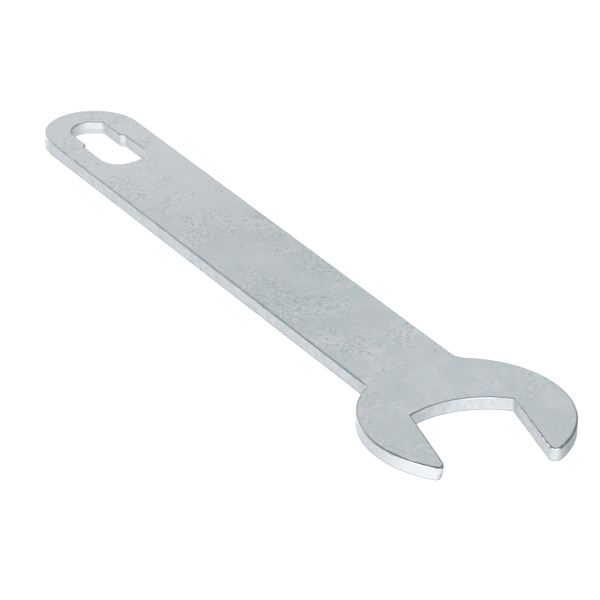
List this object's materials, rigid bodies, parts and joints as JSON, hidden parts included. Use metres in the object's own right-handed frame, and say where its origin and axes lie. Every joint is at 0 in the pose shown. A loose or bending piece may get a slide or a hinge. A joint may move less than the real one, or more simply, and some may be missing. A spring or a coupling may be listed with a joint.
{
  "type": "fixed open-end wrench",
  "caption": "Flat galvanised steel open-end wrench with a fixed jaw angled to one side of a long strap handle, and a stepped hanging slot in its rounded end.",
  "frame": {"origin": "bottom centre of the bounding box, on the plate's underside", "axes": "+X along the handle from the hanging slot to the jaw, +Y across the handle towards the longer-reaching jaw, +Z out of the plate's upper face"},
  "size_m": [0.2442, 0.061, 0.0041],
  "materials": {
    "zinc_steel": "matt zinc-coated (galvanised) mild steel plate, fine grey speckle, edges rolled over by blanking"
  },
  "bodies": {
    "root": {"wrench_plate": "zinc_steel"}
  },
  "joints": []
}
